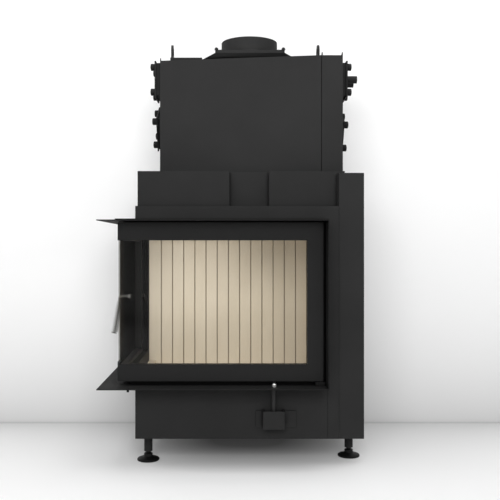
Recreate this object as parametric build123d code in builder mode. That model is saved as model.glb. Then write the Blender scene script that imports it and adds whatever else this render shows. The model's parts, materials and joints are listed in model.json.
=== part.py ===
"""Corner fireplace insert with a glazed L-shaped door, built in millimetres.

X runs to the right, Y to the back, Z up. The origin is on the floor under the middle of the
whole insert, and the viewer stands at the front, on the -Y side.
"""

import math
import os

from build123d import *

os.makedirs("parts", exist_ok=True)

# Sheet metal body
SHEET = 3.0
BODY_LEFT, BODY_RIGHT = -313.7, 433.9
BODY_FRONT, BODY_BACK = -241.5, 288.5
BODY_BOTTOM, BODY_TOP = 88.0, 957.0
IN_LEFT, IN_RIGHT = BODY_LEFT + SHEET, BODY_RIGHT - SHEET
IN_FRONT, IN_BACK = BODY_FRONT + SHEET, BODY_BACK - SHEET
LEDGE_TOP = 849.0
SEAM_LEFT = 314.5
SEAM_RIGHT = 352.0
RIGHT_PANEL_LEFT = SEAM_RIGHT + 0.4

# Header boxes above the ledge, with a notch between them
HEADER_FRONT, HEADER_TOP = -180.5, 969.0
HEADER_BACK = -134.5
NOTCH_LEFT, NOTCH_RIGHT = -6.5, 126.7
HEADER_RIGHT = 380.0

# Trim plates that frame the door
TRIM_FRONT, TRIM_LEFT, TRIM_RIGHT = -348.5, -421.7, 307.4
TRIM_BOTTOM, TRIM_TOP = 266.9, 801.0
TRIM_REAR = 147.5
STRIP_TOP = 804.0
TRIM_SCREW = (-324.8, -335.0)

# Seat that the door closes on
SEAT_FRONT, SEAT_LEFT = -257.5, -331.9
SEAT_LOW, SEAT_HIGH = 326.0, 745.0
SEAT_RIGHT = 252.0
POST_FRONT, POST_REAR = 126.0, 143.5

# L-shaped door
DOOR_FRONT, DOOR_LEFT, DOOR_RIGHT, DOOR_REAR = -289.5, -363.9, 294.9, 143.0
DOOR_BOTTOM, DOOR_TOP = 284.7, 793.9
BAR = 30.0
GLASS_BOTTOM, GLASS_TOP = 337.8, 736.1
STILE_LEFT, STILE_REAR = 244.3, 93.5
GLASS, GLASS_HOLD, LIP = 4.0, 7.8, 2.5
DOOR_BACK, DOOR_IN = DOOR_FRONT + BAR, DOOR_LEFT + BAR

# Door hinge, handle and latch
HINGE_X, HINGE_Y, PIN_R = 288.9, -279.5, 4.0
RUN = 0.05
HANDLE_Y, HANDLE_Z = 110.5, 530.0
HANDLE_R, CORE_R = 6.0, 4.6
NOSE = 11.2
CORNER_X, BEND_R = -416.27, 13.0
LEAN = math.radians(9.3)
WIRE_R, TURNS, PITCH = 1.25, 17, 7.0
COIL_START, COIL_TOP_R, COIL_LOW_R = 16.0, 7.3, 9.9
WIRE_SIDES = 8

# Fire chamber
CHAMBER_BACK, CHAMBER_RIGHT = 138.5, 290.0
BRICK_BACK, BRICK_RIGHT = 168.5, 318.0
SHELL = 4.0
SHELL_BACK, SHELL_RIGHT = BRICK_BACK + SHELL, BRICK_RIGHT + SHELL
STEEL_FLOOR, BRICK_FLOOR = 230.0, 260.0
ROOF_BOTTOM = 798.0
GROOVE_FIRST, PLANK, GROOVES = -264.2, 42.2, 13
GROOVE_WIDE, GROOVE_DEEP = 4.6, 4.0

# Combustion air control
LEVER_X, LEVER_Y, LEVER_R, LEVER_Z = 137.3, -266.5, 6.2, 277.0
BOX_LEFT, BOX_RIGHT, BOX_FRONT = 102.4, 171.2, -290.5
BOX_BOTTOM, BOX_TOP, BOX_WALL = 129.6, 187.2, 2.4

# Air inlet at the back
INLET_X, INLET_Z, INLET_R, INLET_END = 60.0, 178.0, 75.0, 348.5

# Upper casing, whose main front is turned by about eight degrees
CASE_LEFT, CASE_RIGHT, CASE_BACK = -250.7, 381.0, 190.0
CASE_TOP, CASE_FRONT = 1369.6, -131.5
CASE_SEAM, CASE_STRIP = 307.3, 309.3
CASE_CORNER_Y, CASE_SEAM_Y = -53.5, -131.4
TAB_TOP = 1379.6
COVER_TOP = 1381.6

# Flue outlet
FLUE_X, FLUE_Y, FLUE_R, FLUE_WALL = 64.9, 15.5, 100.0, 2.0
FLANGE_BOTTOM, FLANGE_TOP, FLUE_TOP = 1389.0, 1400.0, 1447.0
FLANGE_HALF_X, FLANGE_HALF_Y = 121.0, 102.0
HOOD_HALF, HOOD_FRONT, HOOD_BACK = 166.0, -70.0, 160.0

# Lifting lugs and side covers
LUG_Y, LUG_HALF, LUG_EYE_Z, LUG_EYE_R, LUG_THICK = 8.0, 25.0, 1415.0, 15.0, 7.0
COVER, KNOB_R = 126.0, 12.3

# Feet
LEG_R, SPINDLE_R, PAD_R = 14.0, 8.0, 36.8
LEG_BOTTOM, PAD_HEIGHT = 31.0, 24.0
FEET = {
    "front_left": (-278.5, -171.5),
    "front_right": (401.5, -124.5),
    "rear_left": (-278.5, 215.0),
    "rear_right": (401.5, 215.0),
}


def save(piece, name):
    """Name a finished piece and write its file."""
    piece.part.label = name
    export_step(piece.part, f"parts/{name}.step")


def block(x, y, z, mode=Mode.ADD):
    """Add or cut a square piece between the given limits."""
    with Locations((x[0], y[0], z[0])):
        Box(x[1] - x[0], y[1] - y[0], z[1] - z[0], align=(Align.MIN,) * 3, mode=mode)


def plate(name, x, y, z):
    """A plain flat piece between the given limits."""
    with BuildPart() as piece:
        block(x, y, z)
    save(piece, name)


def rod(start, axis, radius, length, mode=Mode.ADD):
    """Add or cut a round bar from a start point along an axis."""
    plane = Plane(origin=start, z_dir=axis)
    with BuildSketch(plane) as face:
        Circle(radius)
    extrude(face.sketch, amount=length, mode=mode)


# Base with its four leg tubes
with BuildPart() as base_frame:
    block((IN_LEFT, IN_RIGHT), (IN_FRONT, IN_BACK), (BODY_BOTTOM, BODY_BOTTOM + SHEET))
    for x, y in FEET.values():
        rod((x, y, LEG_BOTTOM), (0, 0, 1), LEG_R, BODY_BOTTOM - LEG_BOTTOM)
        rod((x, y, LEG_BOTTOM), (0, 0, 1), SPINDLE_R + RUN, BODY_BOTTOM - LEG_BOTTOM, Mode.SUBTRACT)
save(base_frame, "base_frame")

# Lower front panel with a pressed seam and the air port
with BuildPart() as front_panel_lower:
    block((BODY_LEFT, SEAM_RIGHT - 0.4), (BODY_FRONT, IN_FRONT), (BODY_BOTTOM, TRIM_BOTTOM))
    block(
        (SEAM_LEFT - 0.5, SEAM_LEFT + 0.5),
        (BODY_FRONT, BODY_FRONT + 1),
        (BODY_BOTTOM, TRIM_BOTTOM),
        Mode.SUBTRACT,
    )
    block((LEVER_X - 20, LEVER_X + 20), (BODY_FRONT, IN_FRONT), (145, 170), Mode.SUBTRACT)
save(front_panel_lower, "front_panel_lower")

# Lintel over the door with its ledge, and the stile at its right
with BuildPart() as front_surround:
    block((BODY_LEFT, SEAM_RIGHT - 0.4), (BODY_FRONT, IN_FRONT), (STRIP_TOP, LEDGE_TOP))
    block((BODY_LEFT, SEAM_RIGHT - 0.4), (IN_FRONT, HEADER_BACK), (LEDGE_TOP - SHEET, LEDGE_TOP))
    block((TRIM_RIGHT, SEAM_RIGHT - 0.4), (BODY_FRONT, IN_FRONT), (TRIM_BOTTOM, STRIP_TOP))
save(front_surround, "front_surround")

# Right front panel, folded back beside the header box
with BuildPart() as front_panel_right:
    block((RIGHT_PANEL_LEFT, BODY_RIGHT), (BODY_FRONT, IN_FRONT), (BODY_BOTTOM, BODY_TOP))
    block(
        (RIGHT_PANEL_LEFT, RIGHT_PANEL_LEFT + SHEET),
        (IN_FRONT, HEADER_FRONT - 0.5),
        (LEDGE_TOP, BODY_TOP),
    )
save(front_panel_right, "front_panel_right")

# Left side panel with the opening that the glazed side of the door covers
with BuildPart() as side_panel_left:
    block((BODY_LEFT, IN_LEFT), (IN_FRONT, IN_BACK), (BODY_BOTTOM, BODY_TOP - SHEET))
    block((BODY_LEFT, IN_LEFT), (IN_FRONT, POST_FRONT), (SEAT_LOW, SEAT_HIGH), Mode.SUBTRACT)
    block(
        (BODY_LEFT, IN_LEFT),
        (IN_FRONT, HEADER_BACK),
        (LEDGE_TOP - SHEET, BODY_TOP),
        Mode.SUBTRACT,
    )
save(side_panel_left, "side_panel_left")

plate(
    "side_panel_right",
    (IN_RIGHT, BODY_RIGHT),
    (IN_FRONT, IN_BACK),
    (BODY_BOTTOM, BODY_TOP - SHEET),
)

# Rear panel with the hole for combustion air
with BuildPart() as rear_panel:
    block((BODY_LEFT, BODY_RIGHT), (IN_BACK, BODY_BACK), (BODY_BOTTOM, BODY_TOP))
    rod((INLET_X, IN_BACK, INLET_Z), (0, 1, 0), INLET_R - SHEET, SHEET, Mode.SUBTRACT)
save(rear_panel, "rear_panel")

# Top of the body, open under the casing for the smoke path
with BuildPart() as body_top:
    with BuildSketch(Plane.XY.offset(BODY_TOP - SHEET)):
        with BuildLine():
            Polyline(
                (BODY_LEFT, IN_BACK),
                (BODY_RIGHT, IN_BACK),
                (BODY_RIGHT, IN_FRONT),
                (RIGHT_PANEL_LEFT + SHEET, IN_FRONT),
                (RIGHT_PANEL_LEFT + SHEET, HEADER_FRONT),
                (HEADER_RIGHT, HEADER_FRONT),
                (HEADER_RIGHT, HEADER_BACK),
                (BODY_LEFT, HEADER_BACK),
                close=True,
            )
        make_face()
        with Locations((70, 60)):
            Rectangle(480, 200, mode=Mode.SUBTRACT)
    extrude(amount=SHEET)
save(body_top, "body_top")

# Two hollow header boxes and the plate at the back of the notch between them
for name, left, right in (
    ("header_left", BODY_LEFT, NOTCH_LEFT),
    ("header_right", NOTCH_RIGHT, HEADER_RIGHT),
):
    with BuildPart() as header:
        block((left, right), (HEADER_FRONT, HEADER_BACK), (LEDGE_TOP, HEADER_TOP))
        block(
            (left + SHEET, right - SHEET),
            (HEADER_FRONT + SHEET, HEADER_BACK - SHEET),
            (LEDGE_TOP, HEADER_TOP - SHEET),
            Mode.SUBTRACT,
        )
    save(header, name)

plate("notch_back", (NOTCH_LEFT, NOTCH_RIGHT), (HEADER_BACK - SHEET, HEADER_BACK), (LEDGE_TOP, HEADER_TOP))

# Trim plates: top with its upper strip, bottom, right and rear left
with BuildPart() as trim_top:
    block((TRIM_LEFT, TRIM_RIGHT), (TRIM_FRONT, IN_FRONT), (TRIM_TOP - SHEET, TRIM_TOP))
    block((TRIM_LEFT, BODY_LEFT), (IN_FRONT, TRIM_REAR + SHEET), (TRIM_TOP - SHEET, TRIM_TOP))
    block((DOOR_LEFT, TRIM_RIGHT), (TRIM_FRONT + 3, IN_FRONT), (TRIM_TOP, STRIP_TOP))
save(trim_top, "trim_top")

with BuildPart() as trim_bottom:
    block((TRIM_LEFT, TRIM_RIGHT), (TRIM_FRONT, IN_FRONT), (TRIM_BOTTOM, TRIM_BOTTOM + SHEET))
    block((TRIM_LEFT, BODY_LEFT), (IN_FRONT, TRIM_REAR + SHEET), (TRIM_BOTTOM, TRIM_BOTTOM + SHEET))
    rod((LEVER_X, LEVER_Y, TRIM_BOTTOM), (0, 0, 1), LEVER_R + RUN, SHEET, Mode.SUBTRACT)
    rod((*TRIM_SCREW, TRIM_BOTTOM - 8), (0, 0, 1), 4.0, 8)
save(trim_bottom, "trim_bottom")

TRIM_CLEAR = (TRIM_BOTTOM + SHEET, TRIM_TOP - SHEET)
plate("trim_right", (TRIM_RIGHT - SHEET, TRIM_RIGHT), (TRIM_FRONT, IN_FRONT), TRIM_CLEAR)
plate("trim_rear", (TRIM_LEFT, BODY_LEFT), (TRIM_REAR, TRIM_REAR + SHEET), TRIM_CLEAR)

# Seat bars round the opening, which stop the door
for name, low, high in (
    ("seat_bottom", TRIM_CLEAR[0], SEAT_LOW),
    ("seat_top", SEAT_HIGH, TRIM_CLEAR[1]),
):
    with BuildPart() as seat:
        block((SEAT_LEFT, TRIM_RIGHT - SHEET), (SEAT_FRONT, IN_FRONT), (low, high))
        block((SEAT_LEFT, BODY_LEFT), (IN_FRONT, POST_REAR), (low, high))
    save(seat, name)

plate("seat_right", (SEAT_RIGHT, TRIM_RIGHT - SHEET), (SEAT_FRONT, IN_FRONT), (SEAT_LOW, SEAT_HIGH))

# Rear seat post with the keeper plate of the latch
with BuildPart() as seat_post:
    block((SEAT_LEFT, BODY_LEFT), (POST_FRONT, POST_REAR), (SEAT_LOW, SEAT_HIGH))
    block((SEAT_LEFT, BODY_LEFT - 2), (POST_FRONT - 3, POST_FRONT), (HANDLE_Z - 16, HANDLE_Z + 16))
save(seat_post, "seat_post")

# Lower hinge block with its pin, and the upper hinge pin
with BuildPart() as hinge_block:
    block((270, 301), (-291, SEAT_FRONT), (TRIM_CLEAR[0], DOOR_BOTTOM - 2.4))
    rod((HINGE_X, HINGE_Y, DOOR_BOTTOM - 2.4), (0, 0, 1), PIN_R + 2.5, 2.3)
    rod((HINGE_X, HINGE_Y, DOOR_BOTTOM - 0.1), (0, 0, 1), PIN_R, 10)
save(hinge_block, "hinge_block")

with BuildPart() as hinge_pin_top:
    rod((HINGE_X, HINGE_Y, TRIM_CLEAR[1]), (0, 0, -1), PIN_R + 2.5, TRIM_CLEAR[1] - DOOR_TOP - 0.1)
    rod((HINGE_X, HINGE_Y, TRIM_CLEAR[1]), (0, 0, -1), PIN_R, TRIM_CLEAR[1] - DOOR_TOP + 9.9)
save(hinge_pin_top, "hinge_pin_top")

# Steel shell of the fire chamber: floor, back and right side
with BuildPart() as chamber_shell:
    block((IN_LEFT, SHELL_RIGHT), (IN_FRONT, SHELL_BACK), (STEEL_FLOOR - SHELL, STEEL_FLOOR))
    block((IN_LEFT, SHELL_RIGHT), (BRICK_BACK, SHELL_BACK), (STEEL_FLOOR, ROOF_BOTTOM))
    block((BRICK_RIGHT, SHELL_RIGHT), (IN_FRONT, BRICK_BACK), (STEEL_FLOOR, ROOF_BOTTOM))
save(chamber_shell, "chamber_shell")

with BuildPart() as chamber_roof:
    block((IN_LEFT, SHELL_RIGHT), (IN_FRONT, SHELL_BACK), (ROOF_BOTTOM, ROOF_BOTTOM + SHELL))
    block((-150, 200), (-215, -135), (ROOF_BOTTOM, ROOF_BOTTOM + SHELL), Mode.SUBTRACT)
save(chamber_roof, "chamber_roof")


def grooved_wall(name, corner, along, face_length, first, count, thick):
    """A firebrick wall whose chamber face has upright V grooves at plank spacing."""
    half = GROOVE_WIDE / 2
    outline = [(0.0, 0.0)]
    for number in range(count):
        middle = first + PLANK * number
        outline += [(middle - half, 0.0), (middle, GROOVE_DEEP), (middle + half, 0.0)]
    outline += [(face_length, 0.0), (face_length, thick), (0.0, thick)]
    plane = Plane(origin=(corner[0], corner[1], BRICK_FLOOR), x_dir=along, z_dir=(0, 0, 1))
    with BuildPart() as wall:
        with BuildSketch(plane):
            with BuildLine():
                Polyline(*outline, close=True)
            make_face()
        extrude(amount=ROOF_BOTTOM - BRICK_FLOOR)
    save(wall, name)


BRICK_LEFT = -309.7
grooved_wall(
    "firebrick_back",
    (BRICK_LEFT, CHAMBER_BACK),
    (1, 0, 0),
    BRICK_RIGHT - BRICK_LEFT,
    GROOVE_FIRST - BRICK_LEFT,
    GROOVES + 1,
    BRICK_BACK - CHAMBER_BACK,
)
grooved_wall(
    "firebrick_right",
    (CHAMBER_RIGHT, CHAMBER_BACK),
    (0, -1, 0),
    CHAMBER_BACK - IN_FRONT,
    PLANK - 6,
    8,
    BRICK_RIGHT - CHAMBER_RIGHT,
)

# Firebrick floor with a low kerb along the left and the front
with BuildPart() as firebrick_floor:
    block((BRICK_LEFT, BRICK_RIGHT), (IN_FRONT, BRICK_BACK), (STEEL_FLOOR, BRICK_FLOOR))
    block((BRICK_LEFT, BRICK_LEFT + 26), (IN_FRONT, CHAMBER_BACK), (BRICK_FLOOR, BRICK_FLOOR + 26))
    block((BRICK_LEFT + 26, CHAMBER_RIGHT), (IN_FRONT, IN_FRONT + 30), (BRICK_FLOOR, BRICK_FLOOR + 40))
save(firebrick_floor, "firebrick_floor")

# Sloping baffle above the fire
with BuildPart() as baffle:
    with BuildSketch(Plane(origin=(IN_LEFT, 0, 0), x_dir=(0, 1, 0), z_dir=(1, 0, 0))):
        with BuildLine():
            Polyline((CHAMBER_BACK, 748), (CHAMBER_BACK, 772), (-118, 792), (-118, 768), close=True)
        make_face()
    extrude(amount=CHAMBER_RIGHT - IN_LEFT)
save(baffle, "baffle")

# Combustion air box on its mounting plate, open at the top
with BuildPart() as air_box:
    block((80.9, 211.5), (BODY_FRONT - SHEET, BODY_FRONT), (126.0, 180.3))
    block((BOX_LEFT, BOX_RIGHT), (BOX_FRONT, BODY_FRONT - SHEET), (BOX_BOTTOM, BOX_TOP))
    block(
        (BOX_LEFT + BOX_WALL, BOX_RIGHT - BOX_WALL),
        (BOX_FRONT + BOX_WALL, BODY_FRONT - SHEET),
        (BOX_BOTTOM + BOX_WALL, BOX_TOP),
        Mode.SUBTRACT,
    )
    block((LEVER_X - 20, LEVER_X + 20), (BODY_FRONT - SHEET, BODY_FRONT), (145, 170), Mode.SUBTRACT)
    rod((LEVER_X, LEVER_Y, BOX_BOTTOM), (0, 0, 1), PIN_R + RUN, BOX_WALL, Mode.SUBTRACT)
save(air_box, "air_box")

# Air inlet collar with its flange on the rear panel
with BuildPart() as air_inlet:
    rod((INLET_X, BODY_BACK, INLET_Z), (0, 1, 0), INLET_R, INLET_END - BODY_BACK)
    rod((INLET_X, BODY_BACK, INLET_Z), (0, 1, 0), INLET_R + 17, SHEET)
    rod((INLET_X, BODY_BACK, INLET_Z), (0, 1, 0), INLET_R - 2, INLET_END - BODY_BACK, Mode.SUBTRACT)
save(air_inlet, "air_inlet")


def upright_sheet(name, outline, top=CASE_TOP):
    """A folded sheet of the upper casing, given by its outline seen from above."""
    tab_rise = TAB_TOP - CASE_TOP
    with BuildPart() as sheet:
        with BuildSketch(Plane.XY.offset(BODY_TOP)):
            with BuildLine():
                Polyline(*outline, close=True)
            make_face()
        extrude(amount=top - BODY_TOP)
        for x, y, length in TABS.get(name, ()):
            plane = Plane(origin=(x, y, CASE_TOP), x_dir=(0, 1, 0), z_dir=(1, 0, 0))
            with BuildSketch(plane):
                with BuildLine():
                    Polyline((0, 0), (length, 0), (4, tab_rise), (0, tab_rise), close=True)
                make_face()
            extrude(amount=SHEET)
    save(sheet, name)


FRONT_IN = SHEET * math.hypot(CASE_SEAM - CASE_LEFT, CASE_SEAM_Y - CASE_CORNER_Y) / (CASE_SEAM - CASE_LEFT)
SLOPE = (CASE_SEAM_Y - CASE_CORNER_Y) / (CASE_SEAM - CASE_LEFT)
FLANGE_Y = CASE_FRONT + 32
TABS = {
    "casing_left": [(CASE_LEFT, CASE_CORNER_Y + FRONT_IN, 24)],
    "casing_right": [(CASE_STRIP, CASE_FRONT, 28), (CASE_RIGHT - SHEET, CASE_FRONT, 28)],
}

upright_sheet(
    "casing_front",
    [
        (CASE_LEFT, CASE_CORNER_Y),
        (CASE_SEAM, CASE_SEAM_Y),
        (CASE_SEAM, CASE_SEAM_Y + FRONT_IN),
        (CASE_LEFT, CASE_CORNER_Y + FRONT_IN),
    ],
)
upright_sheet(
    "casing_right",
    [
        (CASE_STRIP, CASE_FRONT),
        (CASE_RIGHT, CASE_FRONT),
        (CASE_RIGHT, CASE_BACK),
        (CASE_RIGHT - SHEET, CASE_BACK),
        (CASE_RIGHT - SHEET, CASE_FRONT + SHEET),
        (CASE_STRIP + SHEET, CASE_FRONT + SHEET),
        (CASE_STRIP + SHEET, FLANGE_Y),
        (CASE_STRIP, FLANGE_Y),
    ],
)
upright_sheet(
    "casing_left",
    [
        (CASE_LEFT, CASE_CORNER_Y + FRONT_IN),
        (CASE_LEFT + SHEET, CASE_CORNER_Y + FRONT_IN + SHEET * SLOPE),
        (CASE_LEFT + SHEET, CASE_BACK - SHEET),
        (CASE_LEFT, CASE_BACK - SHEET),
    ],
)
plate(
    "casing_back",
    (CASE_LEFT, CASE_RIGHT - SHEET),
    (CASE_BACK - SHEET, CASE_BACK),
    (BODY_TOP, CASE_TOP),
)

# Casing top with the smoke hole, and the low cover plate that lies on it
with BuildPart() as casing_top:
    with BuildSketch(Plane.XY.offset(CASE_TOP - SHEET)):
        with BuildLine():
            Polyline(
                (CASE_LEFT + SHEET, CASE_CORNER_Y + FRONT_IN + SHEET * SLOPE),
                (CASE_SEAM, CASE_SEAM_Y + FRONT_IN),
                (CASE_STRIP, CASE_SEAM_Y + FRONT_IN),
                (CASE_STRIP, FLANGE_Y),
                (CASE_STRIP + SHEET, FLANGE_Y),
                (CASE_STRIP + SHEET, CASE_FRONT + SHEET),
                (CASE_RIGHT - SHEET, CASE_FRONT + SHEET),
                (CASE_RIGHT - SHEET, CASE_BACK - SHEET),
                (CASE_LEFT + SHEET, CASE_BACK - SHEET),
                close=True,
            )
        make_face()
        with Locations((FLUE_X, FLUE_Y)):
            Circle(FLUE_R - 18, mode=Mode.SUBTRACT)
    extrude(amount=SHEET)
    block((-215, -103), (-50, -20), (CASE_TOP, COVER_TOP))
    block((-205, -103), (-20, 130), (CASE_TOP, COVER_TOP))
save(casing_top, "casing_top")


def cleaning_cover(name, wall_x, face_x, knob_x, place, tilt, stub_end=None):
    """A square side cover on its neck, held by four knobs, with a sensor stub on one."""
    outward = math.copysign(1, face_x - wall_x)
    along = (0, math.cos(math.radians(tilt)), math.sin(math.radians(tilt)))
    plane = Plane(origin=(wall_x, *place), x_dir=along, z_dir=(outward, 0, 0))
    face = plane.offset(abs(face_x - wall_x))
    with BuildPart() as cover:
        with BuildSketch(plane):
            Rectangle(COVER - 12, COVER - 12)
        extrude(amount=abs(face_x - wall_x) - 5)
        with BuildSketch(plane.offset(abs(face_x - wall_x) - 5)):
            Rectangle(COVER, COVER)
        extrude(amount=5)
        with BuildSketch(face):
            with GridLocations(91, 88, 2, 2):
                Circle(KNOB_R)
        extrude(amount=abs(knob_x - face_x))
        if stub_end:
            with BuildSketch(Plane(origin=(face_x, place[0], place[1] + 10), z_dir=(outward, 0, 0))):
                Circle(13)
                Circle(9, mode=Mode.SUBTRACT)
            extrude(amount=abs(stub_end - face_x))
    save(cover, name)


cleaning_cover("cover_left_upper", CASE_LEFT, -270.5, -284.0, (14.0, 1307.4), 0)
cleaning_cover("cover_left_lower", CASE_LEFT, -268.5, -281.9, (68.0, 1148.0), 28)
cleaning_cover("cover_right_upper", CASE_RIGHT, 407.3, 420.7, (-6.0, 1303.0), 0, 448.9)
cleaning_cover("cover_right_lower", CASE_RIGHT, 405.0, 418.5, (68.0, 1136.0), 28)

# Second sensor stub, straight on the casing
with BuildPart() as sensor_stub:
    rod((CASE_RIGHT, 74.0, 1315.0), (1, 0, 0), 13.0, 448.9 - CASE_RIGHT)
    rod((CASE_RIGHT + 4, 74.0, 1315.0), (1, 0, 0), 9.0, 448.9 - CASE_RIGHT, Mode.SUBTRACT)
save(sensor_stub, "sensor_stub")


def quad(points, z):
    """A flat four-cornered face at a given height."""
    return make_face(Polyline(*[(x, y, z) for x, y in points], close=True).edges())


def hood_section(inset, z_low, z_high):
    """The solid between the wide foot and the narrow head of the hood."""
    foot = [
        (FLUE_X - HOOD_HALF + inset, HOOD_FRONT + inset),
        (FLUE_X + HOOD_HALF - inset, HOOD_FRONT + inset),
        (FLUE_X + HOOD_HALF - inset, HOOD_BACK - inset),
        (FLUE_X - HOOD_HALF + inset, HOOD_BACK - inset),
    ]
    head = [
        (FLUE_X - FLANGE_HALF_X + inset, FLUE_Y - FLANGE_HALF_Y + inset),
        (FLUE_X + FLANGE_HALF_X - inset, FLUE_Y - FLANGE_HALF_Y + inset),
        (FLUE_X + FLANGE_HALF_X - inset, FLUE_Y + FLANGE_HALF_Y - inset),
        (FLUE_X - FLANGE_HALF_X + inset, FLUE_Y + FLANGE_HALF_Y - inset),
    ]
    return loft([quad(foot, z_low), quad(head, z_high)], ruled=True)


# Hood over the smoke hole, hollow inside
flue_hood = hood_section(0, CASE_TOP, FLANGE_BOTTOM) - hood_section(4, CASE_TOP, FLANGE_BOTTOM)
flue_hood.label = "flue_hood"
export_step(flue_hood, "parts/flue_hood.step")

# Flange plate with four studs, and the flue collar on it
with BuildPart() as flue_flange:
    with BuildSketch(Plane.XY.offset(FLANGE_BOTTOM)):
        with Locations((FLUE_X, FLUE_Y)):
            RectangleRounded(2 * FLANGE_HALF_X, 2 * FLANGE_HALF_Y, 5)
            Circle(FLUE_R - FLUE_WALL, mode=Mode.SUBTRACT)
    extrude(amount=FLANGE_TOP - FLANGE_BOTTOM)
    with BuildSketch(Plane.XY.offset(FLANGE_TOP)):
        with Locations((FLUE_X, FLUE_Y)):
            with GridLocations(2 * FLANGE_HALF_X - 9, 2 * FLANGE_HALF_Y - 9, 2, 2):
                Circle(4)
    extrude(amount=8)
save(flue_flange, "flue_flange")

with BuildPart() as flue_collar:
    rod((FLUE_X, FLUE_Y, FLANGE_TOP), (0, 0, 1), FLUE_R, FLUE_TOP - FLANGE_TOP)
    rod((FLUE_X, FLUE_Y, FLANGE_TOP), (0, 0, 1), FLUE_R - FLUE_WALL, FLUE_TOP - FLANGE_TOP, Mode.SUBTRACT)
save(flue_collar, "flue_collar")

# Lifting lugs, round at the top
for name, x in (("lifting_lug_left", -211.3), ("lifting_lug_right", 311.7)):
    with BuildPart() as lug:
        with BuildSketch(Plane(origin=(x, LUG_Y, 0), x_dir=(0, 1, 0), z_dir=(1, 0, 0))):
            with Locations((0, LUG_EYE_Z)):
                Circle(LUG_HALF)
            with Locations((0, (CASE_TOP + LUG_EYE_Z) / 2)):
                Rectangle(2 * LUG_HALF, LUG_EYE_Z - CASE_TOP)
            with Locations((0, LUG_EYE_Z)):
                Circle(LUG_EYE_R, mode=Mode.SUBTRACT)
        extrude(amount=LUG_THICK / 2, both=True)
    save(lug, name)


def door_rail(name, low, high, glass_z, pin_from, corner_lip):
    """An L-shaped rail, grooved for both panes and bored for its hinge pin."""
    slot_front = (DOOR_FRONT + LIP - 0.1, DOOR_FRONT + LIP + GLASS + 0.1)
    slot_left = (DOOR_LEFT + LIP - 0.1, DOOR_LEFT + LIP + GLASS + 0.1)
    with BuildPart() as rail:
        block((DOOR_LEFT, DOOR_RIGHT), (DOOR_FRONT, DOOR_BACK), (low, high))
        block((DOOR_LEFT, DOOR_IN), (DOOR_BACK, DOOR_REAR), (low, high))
        block((slot_left[0], STILE_LEFT + GLASS_HOLD + 0.2), slot_front, glass_z, Mode.SUBTRACT)
        block(slot_left, (slot_front[0], STILE_REAR + GLASS_HOLD + 0.2), glass_z, Mode.SUBTRACT)
        rod((HINGE_X, HINGE_Y, pin_from), (0, 0, 1), PIN_R + RUN, 12, Mode.SUBTRACT)
        if corner_lip:
            block((DOOR_LEFT, DOOR_LEFT + 2.2), (DOOR_FRONT, DOOR_FRONT + 34), (high, high + 10))
            block((DOOR_LEFT + 2.2, DOOR_LEFT + 6), (DOOR_FRONT, DOOR_FRONT + 2.2), (high, high + 10))
    save(rail, name)


TOP_GROOVE = (GLASS_TOP, GLASS_TOP + GLASS_HOLD + 0.2)
LOW_GROOVE = (GLASS_BOTTOM - GLASS_HOLD, GLASS_BOTTOM)
door_rail("door_rail_top", GLASS_TOP, DOOR_TOP, TOP_GROOVE, DOOR_TOP - 12, False)
door_rail("door_rail_bottom", DOOR_BOTTOM, GLASS_BOTTOM, LOW_GROOVE, DOOR_BOTTOM, True)

# Door stiles between the rails
with BuildPart() as door_stile_hinge:
    block((STILE_LEFT, DOOR_RIGHT), (DOOR_FRONT, DOOR_BACK), (GLASS_BOTTOM, GLASS_TOP))
    block(
        (STILE_LEFT, STILE_LEFT + GLASS_HOLD + 0.2),
        (DOOR_FRONT + LIP - 0.1, DOOR_FRONT + LIP + GLASS + 0.1),
        (GLASS_BOTTOM, GLASS_TOP),
        Mode.SUBTRACT,
    )
save(door_stile_hinge, "door_stile_hinge")

with BuildPart() as door_stile_latch:
    block((DOOR_LEFT, DOOR_IN), (STILE_REAR, DOOR_REAR), (GLASS_BOTTOM, GLASS_TOP))
    block(
        (DOOR_LEFT + LIP - 0.1, DOOR_LEFT + LIP + GLASS + 0.1),
        (STILE_REAR, STILE_REAR + GLASS_HOLD + 0.2),
        (GLASS_BOTTOM, GLASS_TOP),
        Mode.SUBTRACT,
    )
    rod((DOOR_LEFT, HANDLE_Y, HANDLE_Z), (1, 0, 0), HANDLE_R + RUN, BAR, Mode.SUBTRACT)
save(door_stile_latch, "door_stile_latch")

# Two panes that meet at the open corner
PANE_Z = (GLASS_BOTTOM - GLASS_HOLD, GLASS_TOP + GLASS_HOLD)
PANE_FRONT = (DOOR_FRONT + LIP, DOOR_FRONT + LIP + GLASS)
PANE_LEFT = (DOOR_LEFT + LIP, DOOR_LEFT + LIP + GLASS)
plate("glass_front", (PANE_LEFT[0], STILE_LEFT + GLASS_HOLD), PANE_FRONT, PANE_Z)
plate("glass_side", PANE_LEFT, (PANE_FRONT[1] + 0.2, STILE_REAR + GLASS_HOLD), PANE_Z)

# Sealing rope on the inner face of the door
with BuildPart() as door_seal:
    rope_y = (DOOR_BACK, SEAT_FRONT - 0.4)
    rope_x = (DOOR_IN, SEAT_LEFT - 0.4)
    for low, high in ((304, 316), (752, 764)):
        block((rope_x[0], 272), rope_y, (low, high))
        block(rope_x, (rope_y[1], 140), (low, high))
    block((260, 272), rope_y, (316, 752))
    block(rope_x, (129, 140), (316, 752))
save(door_seal, "door_seal")

# Handle: shank through the latch stile, bent down into the core of the grip
grip_axis = Vector(-math.sin(LEAN), 0, -math.cos(LEAN))
corner = Vector(CORNER_X, HANDLE_Y, HANDLE_Z)
bend_run = BEND_R * math.tan((math.pi / 2 - LEAN) / 2)
bend_start = corner + Vector(bend_run, 0, 0)
bend_end = corner + grip_axis * bend_run
GRIP_END = COIL_START + TURNS * PITCH

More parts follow.
